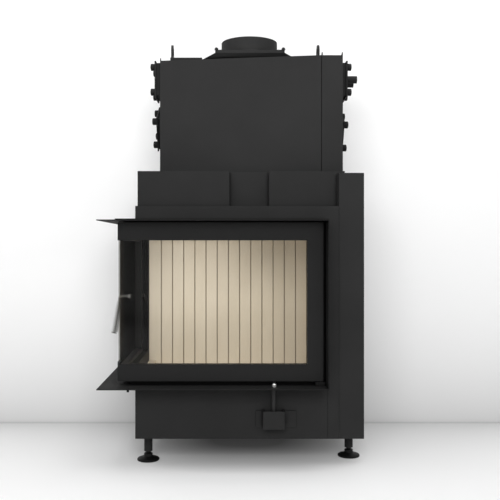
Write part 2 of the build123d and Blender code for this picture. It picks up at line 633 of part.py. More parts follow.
with BuildPart() as handle:
    with BuildLine() as spine:
        Line((DOOR_IN + 11, HANDLE_Y, HANDLE_Z), bend_start)
        TangentArc(bend_start, bend_end, tangent=(-1, 0, 0))
    with BuildSketch(Plane(origin=(DOOR_IN + 11, HANDLE_Y, HANDLE_Z), z_dir=(-1, 0, 0))):
        Circle(HANDLE_R)
    sweep(path=spine.line)
    rod(bend_end, grip_axis, CORE_R, GRIP_END + 1.5 - bend_run)
    rod(corner + grip_axis * (GRIP_END + 1.5), grip_axis, COIL_LOW_R + 0.4, 2.5)
    rod((DOOR_LEFT - 0.4, HANDLE_Y, HANDLE_Z), (-1, 0, 0), 9.5, 12)
save(handle, "handle")

# Latch cam on the inner end of the shank
with BuildPart() as latch_cam:
    with BuildSketch(Plane(origin=(DOOR_IN + 1.2, HANDLE_Y, HANDLE_Z), x_dir=(0, 1, 0), z_dir=(1, 0, 0))):
        Circle(10)
        with Locations((NOSE / 2, 0)):
            Rectangle(NOSE, 8)
        Circle(HANDLE_R, mode=Mode.SUBTRACT)
    extrude(amount=7)
save(latch_cam, "latch_cam")


def coil_point(angle):
    """A point and direction on the widening coil of the grip."""
    side = Vector(0, 1, 0)
    across = grip_axis.cross(side)
    share = angle / (2 * math.pi * TURNS)
    radius = COIL_TOP_R + (COIL_LOW_R - COIL_TOP_R) * share
    widen = (COIL_LOW_R - COIL_TOP_R) / (2 * math.pi * TURNS)
    around = side * math.cos(angle) + across * math.sin(angle)
    onward = across * math.cos(angle) - side * math.sin(angle)
    place = corner + grip_axis * (COIL_START + PITCH * TURNS * share) + around * radius
    heading = onward * radius + around * widen + grip_axis * (PITCH / (2 * math.pi))
    return place, heading.normalized()


def biarc_middle(start, start_way, end, end_way):
    """The joint of two arcs that leave and arrive along the given directions."""
    gap = end - start
    both = start_way + end_way
    slack = 2 * (1 - start_way.dot(end_way))
    reach = (-gap.dot(both) + math.sqrt(gap.dot(both) ** 2 + slack * gap.dot(gap))) / slack
    middle = (start + end + (start_way - end_way) * reach) / 2
    way = ((end - end_way * reach) - (start + start_way * reach)).normalized()
    return middle, way


steps = [coil_point(math.pi * number) for number in range(2 * TURNS + 1)]
with BuildPart() as grip_coil:
    with BuildLine() as wire:
        for (start, start_way), (end, end_way) in zip(steps, steps[1:]):
            middle, way = biarc_middle(start, start_way, end, end_way)
            TangentArc(start, middle, tangent=start_way)
            TangentArc(middle, end, tangent=way)
    with BuildSketch(Plane(origin=steps[0][0], z_dir=steps[0][1])):
        RegularPolygon(WIRE_R, WIRE_SIDES)
    sweep(path=wire.line, clean=False)
save(grip_coil, "grip_coil")

samples = [edge @ (k / 8) for edge in wire.line.edges() for k in range(8)]
per_turn = 32
gaps = [
    (samples[i] - samples[j]).length - 2 * WIRE_R
    for i in range(len(samples))
    for j in range(i + per_turn // 2, min(len(samples), i + 2 * per_turn))
]
print("grip_coil least gap to itself, mm:", round(min(gaps), 2))

# Air lever: upright shaft with a damper flag in the box, and its steel tip
with BuildPart() as air_lever:
    rod((LEVER_X, LEVER_Y, BOX_BOTTOM - 2), (0, 0, 1), PIN_R, BOX_WALL + 3)
    shaft_from = BOX_BOTTOM + BOX_WALL + 0.1
    rod((LEVER_X, LEVER_Y, shaft_from), (0, 0, 1), LEVER_R, LEVER_Z + 5.1 - shaft_from)
    block((LEVER_X - 1, LEVER_X + 1), (LEVER_Y, LEVER_Y + 18.5), (142, 173))
    rod((LEVER_X, LEVER_Y, LEVER_Z), (0, -1, 0), 4.6, 26)
save(air_lever, "air_lever")

with BuildPart() as lever_tip:
    rod((LEVER_X, LEVER_Y - 24, LEVER_Z), (0, -1, 0), 6.6, 27.5)
    rod((LEVER_X, LEVER_Y - 24, LEVER_Z), (0, -1, 0), 4.6, 2, Mode.SUBTRACT)
    chamfer(lever_tip.faces().sort_by(Axis.Y)[0].edges(), 1.2)
save(lever_tip, "lever_tip")

# Levelling feet: a threaded spindle with its nut on a round pad
for name, (x, y) in FEET.items():
    with BuildPart() as foot:
        rod((x, y, 0), (0, 0, 1), PAD_R, 6)
        with Locations((x, y, 6)):
            Cone(PAD_R - 3, 11, PAD_HEIGHT - 6, align=(Align.CENTER, Align.CENTER, Align.MIN))
        with BuildSketch(Plane.XY.offset(PAD_HEIGHT)):
            with Locations((x, y)):
                RegularPolygon(11.5, 6)
        extrude(amount=LEG_BOTTOM - 0.1 - PAD_HEIGHT)
        rod((x, y, LEG_BOTTOM - 0.1), (0, 0, 1), SPINDLE_R, 51)
    save(foot, f"foot_{name}")
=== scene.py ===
"""Corner fireplace insert: materials, small fittings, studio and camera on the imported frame."""

import json
import math

import bmesh
import bpy
from mathutils import Matrix, Vector

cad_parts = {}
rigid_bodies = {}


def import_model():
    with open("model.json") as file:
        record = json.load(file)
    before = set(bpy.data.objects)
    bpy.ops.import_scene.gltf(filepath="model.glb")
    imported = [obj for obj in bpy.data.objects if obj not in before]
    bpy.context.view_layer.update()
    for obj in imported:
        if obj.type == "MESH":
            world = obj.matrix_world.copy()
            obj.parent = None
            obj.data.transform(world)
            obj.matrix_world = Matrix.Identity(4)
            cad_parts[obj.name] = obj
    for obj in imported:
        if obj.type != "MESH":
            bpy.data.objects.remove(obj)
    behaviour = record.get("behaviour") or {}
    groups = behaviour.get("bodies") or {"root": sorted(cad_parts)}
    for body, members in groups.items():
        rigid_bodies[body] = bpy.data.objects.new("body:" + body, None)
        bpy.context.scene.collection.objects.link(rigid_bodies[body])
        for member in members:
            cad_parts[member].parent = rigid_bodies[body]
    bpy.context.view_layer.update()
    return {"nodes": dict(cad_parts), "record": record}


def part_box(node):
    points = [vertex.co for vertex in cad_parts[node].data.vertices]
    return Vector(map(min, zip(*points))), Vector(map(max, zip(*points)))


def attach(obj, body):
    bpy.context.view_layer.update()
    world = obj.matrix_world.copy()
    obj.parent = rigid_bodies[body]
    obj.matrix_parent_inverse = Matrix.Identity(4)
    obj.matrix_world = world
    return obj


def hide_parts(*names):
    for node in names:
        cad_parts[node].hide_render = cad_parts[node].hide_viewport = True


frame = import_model()
nodes = frame["nodes"]
MM = 0.001
NOISE_ROUGHNESS = 0.55


def seen_rays(tree):
    """A socket that is one for camera, glossy and transmission rays."""
    path = tree.nodes.new("ShaderNodeLightPath")
    total = path.outputs["Is Camera Ray"]
    for name in ("Is Glossy Ray", "Is Transmission Ray"):
        either = tree.nodes.new("ShaderNodeMath")
        either.operation = "MAXIMUM"
        tree.links.new(total, either.inputs[0])
        tree.links.new(path.outputs[name], either.inputs[1])
        total = either.outputs[0]
    return total


def four(color):
    """A colour with its alpha, or the socket that gives the colour."""
    return (*color, 1.0) if isinstance(color, tuple) else color


class Graph:
    """A material's node tree, with short calls to add and join nodes."""

    def __init__(self, name):
        self.material = bpy.data.materials.new(name)
        self.material.use_nodes = True
        self.tree = self.material.node_tree
        self.tree.nodes.clear()
        self.output = self.add("ShaderNodeOutputMaterial")
        self.place = self.add("ShaderNodeTexCoord").outputs["Object"]

    def add(self, kind, **values):
        node = self.tree.nodes.new(kind)
        for key, value in values.items():
            setattr(node, key, value)
        return node

    def join(self, source, target):
        self.tree.links.new(source, target)

    def feed(self, socket, value):
        if isinstance(value, bpy.types.NodeSocket):
            self.join(value, socket)
        else:
            socket.default_value = value

    def noise(self, scale, detail=3.0, stretch=(1, 1, 1)):
        """Cloudy noise in the object's own place, drawn out along an axis by a small stretch."""
        mapping = self.add("ShaderNodeMapping")
        mapping.inputs["Scale"].default_value = stretch
        self.join(self.place, mapping.inputs["Vector"])
        node = self.add("ShaderNodeTexNoise")
        self.join(mapping.outputs["Vector"], node.inputs["Vector"])
        node.inputs["Scale"].default_value = scale
        node.inputs["Detail"].default_value = detail
        node.inputs["Roughness"].default_value = NOISE_ROUGHNESS
        return node.outputs["Fac"]

    def between(self, factor, low_value, high_value, start=0.3, end=0.7):
        """The low value up to start, the high value from end on, and a ramp between them."""
        node = self.add("ShaderNodeMapRange")
        self.join(factor, node.inputs["Value"])
        node.inputs["From Min"].default_value = start
        node.inputs["From Max"].default_value = end
        node.inputs["To Min"].default_value = low_value
        node.inputs["To Max"].default_value = high_value
        return node.outputs["Result"]

    def math(self, operation, first, second=0.0):
        """A sum, product or comparison of sockets and numbers."""
        node = self.add("ShaderNodeMath", operation=operation)
        self.feed(node.inputs[0], first)
        self.feed(node.inputs[1], second)
        return node.outputs[0]

    def blend(self, factor, first, second, mode="MIX"):
        """Two colours mixed, or multiplied where the mode says so."""
        node = self.add("ShaderNodeMix", data_type="RGBA", blend_type=mode)
        self.feed(node.inputs["Factor"], factor)
        for socket, value in ((node.inputs[6], first), (node.inputs[7], second)):
            self.feed(socket, four(value))
        return node.outputs[2]

    def bump(self, height, strength, distance, below=None):
        node = self.add("ShaderNodeBump")
        self.join(height, node.inputs["Height"])
        node.inputs["Strength"].default_value = strength
        node.inputs["Distance"].default_value = distance
        if below is not None:
            self.join(below, node.inputs["Normal"])
        return node.outputs["Normal"]

    def painted_crevice_shade(self, reach, darkest, start, end):
        """A painted shade factor: below one in crevices narrower than the reach, down to the darkest
        value.
        """
        node = self.add("ShaderNodeAmbientOcclusion", samples=6)
        node.inputs["Distance"].default_value = reach
        return self.between(node.outputs["AO"], darkest, 1.0, start, end)

    def axis(self, name):
        """The place along X, Y or Z."""
        node = self.add("ShaderNodeSeparateXYZ")
        self.join(self.place, node.inputs[0])
        return node.outputs[name]

    def principled(self, color, roughness, metallic=0.0, specular=0.5, normal=None, sheen=0.0):
        node = self.add("ShaderNodeBsdfPrincipled")
        self.feed(node.inputs["Base Color"], four(color))
        self.feed(node.inputs["Roughness"], roughness)
        node.inputs["Metallic"].default_value = metallic
        node.inputs["Specular IOR Level"].default_value = specular
        if normal is not None:
            self.join(normal, node.inputs["Normal"])
        node.inputs["Sheen Weight"].default_value = sheen
        self.join(node.outputs[0], self.output.inputs["Surface"])
        return node


def coated_steel(name, tone, roughness, specular=0.1):
    """Stove paint on sheet steel: a fine matt grain, faint cloudy patches and painted shade in the
    crevices.
    """
    graph = Graph(name)
    cloud = graph.noise(5.0, 4.0)
    speck = graph.noise(1400.0, 2.0)
    dark, light, glint = (tuple(part * share for part in tone) for share in (0.88, 1.12, 1.5))
    color = graph.blend(graph.between(cloud, 0.0, 1.0), dark, light)
    color = graph.blend(graph.between(speck, 0.0, 0.35, 0.55, 0.8), color, glint)
    # painted shade: the paint's colour is darkened in crevices and gaps
    color = graph.blend(1.0, color, graph.painted_crevice_shade(12 * MM, 0.25, 0.35, 0.9), "MULTIPLY")
    rough = graph.between(cloud, roughness - 0.05, roughness + 0.06)
    fine = graph.bump(speck, 0.35, 0.0002)
    slow = graph.bump(graph.noise(9.0, 2.0), 0.12, 0.004, fine)
    graph.principled(color, rough, specular=specular, normal=slow)
    return graph.material


# Where the bare steel's colour changes, with painted light and shade: the nut on the shank, the door's
# face, the top of the wire
NUT_X, NUT_THICK = -380.5 * MM, 8.0 * MM
DOOR_FACE_X, GRIP_TOP_Z = -375.0 * MM, 519.0 * MM
# The wire painted lighter and the shank darker, as lit and shaded copies of one steel; a painted
# highlight on the nut and the lever tip; near black past the door's face
STEEL_TONES = {
    "wire": (0.5, 0.495, 0.485),
    "shank": (0.27, 0.265, 0.26),
    "dark_past_door": (0.03, 0.03, 0.03),
    "painted_highlight": (0.92, 0.915, 0.90),
}


def bare_steel(name, tones, roughness, stretch):
    """Brushed steel: the wire painted lighter and the shank darker as lit and shaded copies, a near
    black inner end, a painted highlight on the nut and lever tip.
    """
    graph = Graph(name)
    lines = graph.noise(900.0, 3.0, stretch)
    stain = graph.noise(60.0, 3.0)
    # painted light and shade: the wire below the grip's top in a lighter tone, the shank above it in a
    # darker one
    in_grip = graph.math("LESS_THAN", graph.axis("Z"), GRIP_TOP_Z)
    tone = graph.blend(in_grip, tones["shank"], tones["wire"])
    past_door = graph.math("GREATER_THAN", graph.axis("X"), DOOR_FACE_X)
    tone = graph.blend(past_door, tone, tones["dark_past_door"])
    color = graph.blend(graph.between(stain, 0.0, 0.25), tone, (0.2, 0.2, 0.195))
    # painted shade: the steel's colour is darkened in crevices
    color = graph.blend(1.0, color, graph.painted_crevice_shade(8 * MM, 0.06, 0.35, 0.75), "MULTIPLY")
    at_tip = graph.math("GREATER_THAN", graph.axis("X"), 0.0)
    from_nut = graph.math("ABSOLUTE", graph.math("SUBTRACT", graph.axis("X"), NUT_X))
    at_nut = graph.math("LESS_THAN", from_nut, NUT_THICK / 2 + 0.1 * MM)
    # painted highlight: near white on the nut and on the lever tip
    color = graph.blend(graph.math("MAXIMUM", at_tip, at_nut), color, tones["painted_highlight"])
    rough = graph.between(lines, roughness - 0.06, roughness + 0.1)
    normal = graph.bump(lines, 0.25, 0.0002)
    graph.principled(color, rough, metallic=1.0, normal=normal)
    return graph.material


# The back boards: width of one, left edge of the first, and the plane of their faces
BOARD_WIDTH, FIRST_BOARD_X, BOARD_FACE_Y = 0.0422, -0.2642, 0.1385


def firebrick(name):
    """Pressed vermiculite boards: warm beige with flecks, and painted shade in the grooves between
    them.
    """
    graph = Graph(name)
    pale, warm, fleck = (0.69, 0.625, 0.52), (0.63, 0.565, 0.46), (0.47, 0.41, 0.32)
    cloud = graph.noise(14.0, 4.0, (1.0, 1.0, 0.35))
    color = graph.blend(graph.between(cloud, 0.0, 1.0), warm, pale)
    grain = graph.noise(420.0, 3.0)
    color = graph.blend(graph.between(grain, 0.0, 0.5, 0.6, 0.75), color, fleck)
    flake = graph.add("ShaderNodeTexVoronoi")
    flake.inputs["Scale"].default_value = 260.0
    graph.join(graph.place, flake.inputs["Vector"])
    spark = graph.between(flake.outputs["Distance"], 0.35, 0.0, 0.0, 0.22)
    color = graph.blend(spark, color, (0.77, 0.71, 0.61))
    from_first = graph.math("SUBTRACT", graph.axis("X"), FIRST_BOARD_X)
    board = graph.math("FLOOR", graph.math("DIVIDE", from_first, BOARD_WIDTH))
    chance = graph.add("ShaderNodeTexWhiteNoise", noise_dimensions="1D")
    graph.join(board, chance.inputs["W"])
    dull = graph.math("MULTIPLY", chance.outputs["Value"], 0.14)
    color = graph.blend(dull, color, (0.52, 0.45, 0.33))
    # painted shade: darker where the surface lies deeper than the board faces, in the grooves
    in_groove = graph.math("GREATER_THAN", graph.axis("Y"), BOARD_FACE_Y + 0.6 * MM)
    shown = graph.math("LESS_THAN", graph.axis("Y"), BOARD_FACE_Y + 5 * MM)
    groove_shade = graph.math("MULTIPLY", in_groove, shown)
    color = graph.blend(graph.math("MULTIPLY", groove_shade, 0.6), color, (0.17, 0.14, 0.10))
    normal = graph.bump(grain, 0.5, 0.0006)
    normal = graph.bump(flake.outputs["Distance"], 0.25, 0.0004, normal)
    graph.principled(color, 0.9, specular=0.15, normal=normal)
    return graph.material


def clear_glass(name):
    """Heat-proof ceramic glass: clear face on, smoky and a little mirrored at a shallow angle."""
    graph = Graph(name)
    facing = graph.add("ShaderNodeLayerWeight")
    facing.inputs["Blend"].default_value = 0.18
    through = graph.add("ShaderNodeBsdfTransparent")
    smoke = graph.between(graph.noise(3.0, 3.0), 0.0, 1.0)
    tint = graph.blend(smoke, (0.95, 0.945, 0.93), (0.97, 0.965, 0.955))
    tint = graph.blend(facing.outputs["Facing"], tint, (0.16, 0.16, 0.157))
    graph.join(tint, through.inputs["Color"])
    shine = graph.add("ShaderNodeBsdfGlossy")
    shine.inputs["Roughness"].default_value = 0.04
    mixed = graph.add("ShaderNodeMixShader")
    graph.join(graph.between(facing.outputs["Fresnel"], 0.006, 0.058, 0.02, 1.0), mixed.inputs["Fac"])
    graph.join(through.outputs[0], mixed.inputs[1])
    graph.join(shine.outputs[0], mixed.inputs[2])
    graph.join(mixed.outputs[0], graph.output.inputs["Surface"])
    return graph.material


def rope(name):
    """Black braided glass-fibre rope, with a dull fuzz."""
    graph = Graph(name)
    weave = graph.add("ShaderNodeTexVoronoi", feature="SMOOTH_F1")
    weave.inputs["Scale"].default_value = 420.0
    graph.join(graph.place, weave.inputs["Vector"])
    fuzz = graph.noise(1800.0, 2.0)
    color = graph.blend(weave.outputs["Distance"], (0.03, 0.03, 0.03), (0.10, 0.10, 0.10))
    normal = graph.bump(weave.outputs["Distance"], 0.8, 0.0008)
    normal = graph.bump(fuzz, 0.4, 0.0003, normal)
    graph.principled(color, 0.95, specular=0.1, normal=normal, sheen=0.3)
    return graph.material


MATERIALS = {
    "casing_black": coated_steel("casing_paint", (0.0203, 0.0203, 0.0203), 0.66),
    "body_black": coated_steel("body_paint", (0.0202, 0.0202, 0.0202), 0.66),
    "trim_black": coated_steel("trim_paint", (0.010, 0.010, 0.010), 0.6),
    "seat_black": coated_steel("seat_paint", (0.006, 0.006, 0.006), 0.6),
    "chamber_steel": coated_steel("chamber_paint", (0.012, 0.012, 0.012), 0.7),
    "cover_black": coated_steel("cover_paint", (0.016, 0.016, 0.016), 0.6),
    "door_black": coated_steel("door_paint", (0.0105, 0.0105, 0.0105), 0.5, 0.15),
    "latch_steel": coated_steel("latch_paint", (0.020, 0.020, 0.020), 0.45, 0.2),
    "foot_steel": coated_steel("foot_paint", (0.005, 0.005, 0.005), 0.5, 0.15),
    "firebrick": firebrick("firebrick_board"),
    "door_glass": clear_glass("ceramic_glass"),
    "seal_rope": rope("seal_rope_braid"),
    "stainless": bare_steel("stainless_brushed", STEEL_TONES, 0.3, (0.05, 1.0, 1.0)),
}

for entry in frame["record"]["subparts"]:
    shown = nodes[entry["node"]]
    shown.data.materials.clear()
    shown.data.materials.append(MATERIALS[entry["material_slot"]])


def new_piece(name, mesh_builder, body, slot):
    """A mesh piece in the row frame that rides on a body and takes a slot's material."""
    mesh = bpy.data.meshes.new(name)
    bm = bmesh.new()
    mesh_builder(bm)
    bmesh.ops.recalc_face_normals(bm, faces=bm.faces)
    bm.to_mesh(mesh)
    bm.free()
    piece = bpy.data.objects.new(name, mesh)
    bpy.context.scene.collection.objects.link(piece)
    mesh.materials.append(MATERIALS[slot])
    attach(piece, body)
    return piece


def smooth(piece, angle):
    """Round shading where the faces meet below an angle."""
    for face in piece.data.polygons:
        face.use_smooth = True
    piece.data.set_sharp_from_angle(angle=math.radians(angle))


# Sealing rope round the inner face of the door
TURN_STEPS = 6


def seal_edges():
    """The lines on which the rope's centre runs, from the solid seal and the door's frame."""
    (left, front, bottom), (right, rear, top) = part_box("door_seal")
    inset = 6 * MM
    middle_z = (top + bottom) / 2
    half = (top - bottom) / 2 - inset
    return {
        "x_left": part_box("door_stile_latch")[1][0] + 0.8 * MM,
        "x_right": right - inset,
        "y_front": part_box("door_stile_hinge")[1][1] + 0.8 * MM,
        "y_rear": rear - inset,
        "z_low": middle_z - half,
        "z_high": middle_z + half,
    }


def build_seal(bm):
    """A flattened rope: runs of it along the door, with turns in the plane and folds at the corner."""
    edge = seal_edges()
    wide, thick, sides = 6 * MM, 0.8 * MM, 10
    along = edge["x_right"] - edge["x_left"]
    deep = edge["y_rear"] - edge["y_front"]
    tall = edge["z_high"] - edge["z_low"]
    bend, fold = 8 * MM, 1.0 * MM
    x_axis, y_axis, z_axis = Vector((1, 0, 0)), Vector((0, 1, 0)), Vector((0, 0, 1))
    place = Vector((edge["x_left"] + along / 2, edge["y_front"], edge["z_low"]))
    heading, normal = Vector((-1, 0, 0)), Vector((0, 1, 0))
    plan = [
        (along / 2 - fold, z_axis, -90, fold),
        (deep - fold - bend, x_axis, 90, bend),
        (tall - 2 * bend, x_axis, 90, bend),
        (deep - fold - bend, z_axis, 90, fold),
        (along - fold - bend, y_axis, 90, bend),
        (tall - 2 * bend, y_axis, 90, bend),
        (along / 2 - bend, y_axis, 0, bend),
    ]
    sections = []
    for length, turn_axis, turn, radius in plan:
        count = max(2, int(length / (4 * MM)))
        for step in range(count):
            sections.append((place + heading * (length * step / count), heading.copy(), normal.copy()))
        place = place + heading * length
        for step in range(TURN_STEPS if turn else 0):
            sections.append((place.copy(), heading.copy(), normal.copy()))
            part = Matrix.Rotation(math.radians(turn / TURN_STEPS), 3, turn_axis)
            half_part = Matrix.Rotation(math.radians(turn / TURN_STEPS / 2), 3, turn_axis)
            chord = 2 * radius * math.sin(math.radians(abs(turn) / TURN_STEPS / 2))
            place = place + (half_part @ heading) * chord
            heading = part @ heading
            normal = part @ normal
    rings = []
    for number, (centre, way, out) in enumerate(sections):
        across = out.cross(way)
        swell = 1.0 + 0.05 * math.sin(number * 1.7)
        ring = []
        for k in range(sides):
            turn = 2 * math.pi * k / sides
            offset = across * (wide * swell * math.cos(turn)) + out * (thick * math.sin(turn))
            ring.append(bm.verts.new(centre + offset))
        rings.append(ring)
    for first, second in zip(rings, rings[1:] + rings[:1]):
        for k in range(sides):
            following = (k + 1) % sides
            bm.faces.new((first[k], first[following], second[following], second[k]))


seal = new_piece("seal_rope", build_seal, "door", "seal_rope")
smooth(seal, 60)
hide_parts("door_seal")


def ring_of(bm, middle, side, other, radius, sides):
    """A ring of vertices round a point, in the plane of two unit vectors."""
    turns = [2 * math.pi * k / sides for k in range(sides)]
    arms = [side * math.cos(turn) + other * math.sin(turn) for turn in turns]
    return [bm.verts.new(middle + arm * radius) for arm in arms]


def loop_tube(bm, line, radius, sides, closed=False):
    """A tube along points, with rings square to its way and flat ends where it is open."""
    count = len(line)
    rings = []
    side = None
    for number, point in enumerate(line):
        before = line[number - 1] if number or closed else point
        after = line[(number + 1) % count] if number + 1 < count or closed else point
        way = (after - before).normalized()
        if side is None:
            side = way.orthogonal().normalized()
        side = (side - way * side.dot(way)).normalized()
        other = way.cross(side)
        size = radius(number) if callable(radius) else radius
        rings.append(ring_of(bm, point, side, other, size, sides))
    pairs = list(zip(rings, rings[1:]))
    if closed:
        pairs.append((rings[-1], rings[0]))
    for first, second in pairs:
        for k in range(sides):
            following = (k + 1) % sides
            bm.faces.new((first[k], first[following], second[following], second[k]))
    if not closed:
        bm.faces.new(rings[0][::-1])
        bm.faces.new(rings[-1])


def lathe(bm, profile, centre, axis, sides):
    """A turned body from (radius, height) points along an axis; a radius of zero closes it."""
    axis = Vector(axis)
    side = axis.orthogonal().normalized()
    other = axis.cross(side)
    rings = []
    for radius, height in profile:
        middle = Vector(centre) + axis * height
        if radius == 0:
            rings.append([bm.verts.new(middle)])
        else:
            rings.append(ring_of(bm, middle, side, other, radius, sides))
    for first, second in zip(rings, rings[1:]):
        for k in range(sides):
            corners = [first[k % len(first)], first[(k + 1) % len(first)]]
            corners += [second[(k + 1) % len(second)], second[k % len(second)]]
            unique = list(dict.fromkeys(corners))
            if len(unique) > 2:
                bm.faces.new(unique)


def in_metres(profile):
    """A lathe's (radius, height) points, from millimetres."""
    return [(radius * MM, height * MM) for radius, height in profile]


# Round wire of the grip, in place of the plain solid's eight-sided one
GRIP = {
    "corner": Vector((-416.27, 110.5, 530.0)) * MM,
    "lean": math.radians(8.5),
    "start": 16.0 * MM,
    "pitch": 7.0 * MM,
    "turns": 17,
    "radius": (6.9 * MM, 11.3 * MM),
    "spread": 0.6,
    "wire": 1.5 * MM,
    "wire_sides": 12,
    "steps_a_turn": 28,
}


def build_grip_wire(bm):
    """A round wire wound on a slim cone that leans outward from the shank's bend."""
    down = Vector((-math.sin(GRIP["lean"]), 0, -math.cos(GRIP["lean"])))
    side = Vector((0, 1, 0))
    across = down.cross(side)
    steps = GRIP["steps_a_turn"] * GRIP["turns"]
    slim, wide = GRIP["radius"]
    line = []
    for number in range(steps + 1):
        share = number / steps
        angle = 2 * math.pi * GRIP["turns"] * share
        around = side * math.cos(angle) + across * math.sin(angle)
        along = GRIP["start"] + GRIP["pitch"] * GRIP["turns"] * share
        radius = slim + (wide - slim) * share ** GRIP["spread"]
        line.append(GRIP["corner"] + down * along + around * radius)
    loop_tube(bm, line, GRIP["wire"], GRIP["wire_sides"])


grip_wire = new_piece("grip_wire", build_grip_wire, "handle", "stainless")
smooth(grip_wire, 60)
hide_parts("grip_coil")


def build_shank_nut(bm):
    """A small bevelled square nut on the shank, just outside the latch stile."""
    middle = Vector((NUT_X, GRIP["corner"].y, GRIP["corner"].z))
    half, thick, cut, bevelled = 7.5 * MM, NUT_THICK / 2, 1.0 * MM, 0.86
    outline = []
    for sy, sz in ((-1, -1), (1, -1), (1, 1), (-1, 1)):
        first, second = (half - cut, half), (half, half - cut)
        if sy * sz > 0:
            first, second = second, first
        outline += [(sy * first[0], sz * first[1]), (sy * second[0], sz * second[1])]
    rings = []
    for x, size in ((-thick, bevelled), (-thick + cut, 1.0), (thick - cut, 1.0), (thick, bevelled)):
        rings.append([bm.verts.new(middle + Vector((x, y * size, z * size))) for y, z in outline])
    for first, second in zip(rings, rings[1:]):
        for k in range(len(outline)):
            following = (k + 1) % len(outline)
            bm.faces.new((first[k], first[following], second[following], second[k]))
    bm.faces.new(rings[0][::-1])
    bm.faces.new(rings[-1])


new_piece("shank_nut", build_shank_nut, "handle", "stainless")


# Feet, turned: a low round pad, a collar, a neck, and the spindle that runs up into the leg tube
PAD_PROFILE = [(0, 0), (35.4, 0), (36.6, 0.9), (37.2, 3.0), (36.9, 5.2), (35.2, 7.2), (30.0, 9.2)]
COLLAR_PROFILE = [(16.4, 12.8), (14.8, 14.6), (14.4, 17.0), (14.4, 22.2), (13.2, 23.8), (9.6, 24.4)]
NECK_PROFILE = [(8.0, 25.0)]


def build_foot(name):
    """A builder for one foot, as high as its plain solid."""

    def build(bm):
        (left, front, floor), (right, rear, top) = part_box(name)
        centre = ((left + right) / 2, (front + rear) / 2, floor)
        profile = in_metres(PAD_PROFILE + COLLAR_PROFILE + NECK_PROFILE)
        tall = top - floor
        profile += [(8.0 * MM, tall - 1.0 * MM), (7.0 * MM, tall), (0, tall)]
        lathe(bm, profile, centre, (0, 0, 1), 64)

    return build


for foot in ("foot_front_left", "foot_front_right", "foot_rear_left", "foot_rear_right"):
    turned = new_piece(f"{foot}_turned", build_foot(foot), foot, "foot_steel")
    smooth(turned, 40)
    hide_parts(foot)


# Tip of the air lever: a short turned cap over the end of the shaft
CAP_PROFILE = [(0, -6.2), (6.6, -6.2), (7.6, -5.2), (7.6, 4.8), (6.4, 6.2), (3.0, 6.6), (0, 6.6)]
CAP_DROP = 3.4 * MM


def build_lever_cap(bm):
    (left, front, bottom), (right, rear, top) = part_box("lever_tip")
    middle = Vector(((left + right) / 2, (front + rear) / 2, (bottom + top) / 2 - CAP_DROP))
    lathe(bm, in_metres(CAP_PROFILE), middle, (0, 0, 1), 40)


lever_cap = new_piece("lever_cap", build_lever_cap, "air_lever", "stainless")
smooth(lever_cap, 40)
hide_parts("lever_tip")


# Rounded caps on the knobs of the four side covers
KNOB_PROFILE = [(12.1, -9), (12.4, -8.6), (12.4, -1.4), (11.8, 0.2), (10.2, 1.3), (6.2, 2.16), (0, 2.4)]
KNOB_SPREAD = (45.5, 44.0)
COVERS = {
    "cover_left_upper": {"knob_end": -284.0, "y": 14.0, "z": 1307.4, "tilt": 0, "outward": -1},
    "cover_left_lower": {"knob_end": -281.9, "y": 68.0, "z": 1148.0, "tilt": 28, "outward": -1},
    "cover_right_upper": {"knob_end": 420.7, "y": -6.0, "z": 1303.0, "tilt": 0, "outward": 1},
    "cover_right_lower": {"knob_end": 418.5, "y": 68.0, "z": 1136.0, "tilt": 28, "outward": 1},
}


def build_knob_caps(name):
    """A builder for the four caps of one cover, which may be set askew on the casing's side."""

    def build(bm):
        cover = COVERS[name]
        turn, outward = math.radians(cover["tilt"]), cover["outward"]
        wide, tall = KNOB_SPREAD
        for across, up in ((-wide, -tall), (wide, -tall), (wide, tall), (-wide, tall)):
            y = cover["y"] + across * math.cos(turn) - up * math.sin(turn) * outward
            z = cover["z"] + across * math.sin(turn) + up * math.cos(turn) * outward
            centre = Vector((cover["knob_end"], y, z)) * MM
            lathe(bm, in_metres(KNOB_PROFILE), centre, (outward, 0, 0), 36)

    return build


for cover_name in COVERS:
    build_caps = build_knob_caps(cover_name)
    caps = new_piece(f"{cover_name}_knob_caps", build_caps, "fireplace", "cover_black")
    smooth(caps, 40)


# Weld beads at the lugs, the hood and the collar
BEAD_SIDES = 8
HOOD_EDGE_BEHIND_FRONT = 17 * MM
COLLAR_BEAD_POINTS = 240


def bead_line(corners, closed, step=2.5 * MM):
    """Points close together along straight runs between corners."""
    corners = [Vector(corner) for corner in corners]
    ends = corners[1:] + corners[:1] if closed else corners[1:]
    line = []
    for start, end in zip(corners, ends):
        count = max(2, int((end - start).length / step))
        line += [start.lerp(end, k / count) for k in range(count)]
    return line if closed else line + [corners[-1]]


def build_beads(bm):
    """Beads along both sides of each lug, round the foot of the hood and round the collar."""

    def swell(number):
        return (1.5 + 0.3 * math.sin(number * 2.1)) * MM

    for name in ("lifting_lug_left", "lifting_lug_right"):
        (left, front, foot), (right, rear, top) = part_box(name)
        for x in (left, right):
            loop_tube(bm, bead_line(((x, front, foot), (x, rear, foot)), False), swell, BEAD_SIDES)
    (left, front, foot), (right, rear, top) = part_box("flue_hood")
    edge = front + HOOD_EDGE_BEHIND_FRONT
    corners = ((left, edge, foot), (right, edge, foot), (right, rear, foot), (left, rear, foot))
    loop_tube(bm, bead_line(corners, True), swell, BEAD_SIDES, True)
    (left, front, foot), (right, rear, top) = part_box("flue_collar")
    radius = (right - left) / 2
    middle = Vector(((left + right) / 2, (front + rear) / 2, foot))
    turns = [2 * math.pi * k / COLLAR_BEAD_POINTS for k in range(COLLAR_BEAD_POINTS)]
    ring = [middle + Vector((math.cos(turn), math.sin(turn), 0)) * radius for turn in turns]
    loop_tube(bm, ring, swell, BEAD_SIDES, True)


beads = new_piece("weld_beads", build_beads, "fireplace", "casing_black")
smooth(beads, 60)


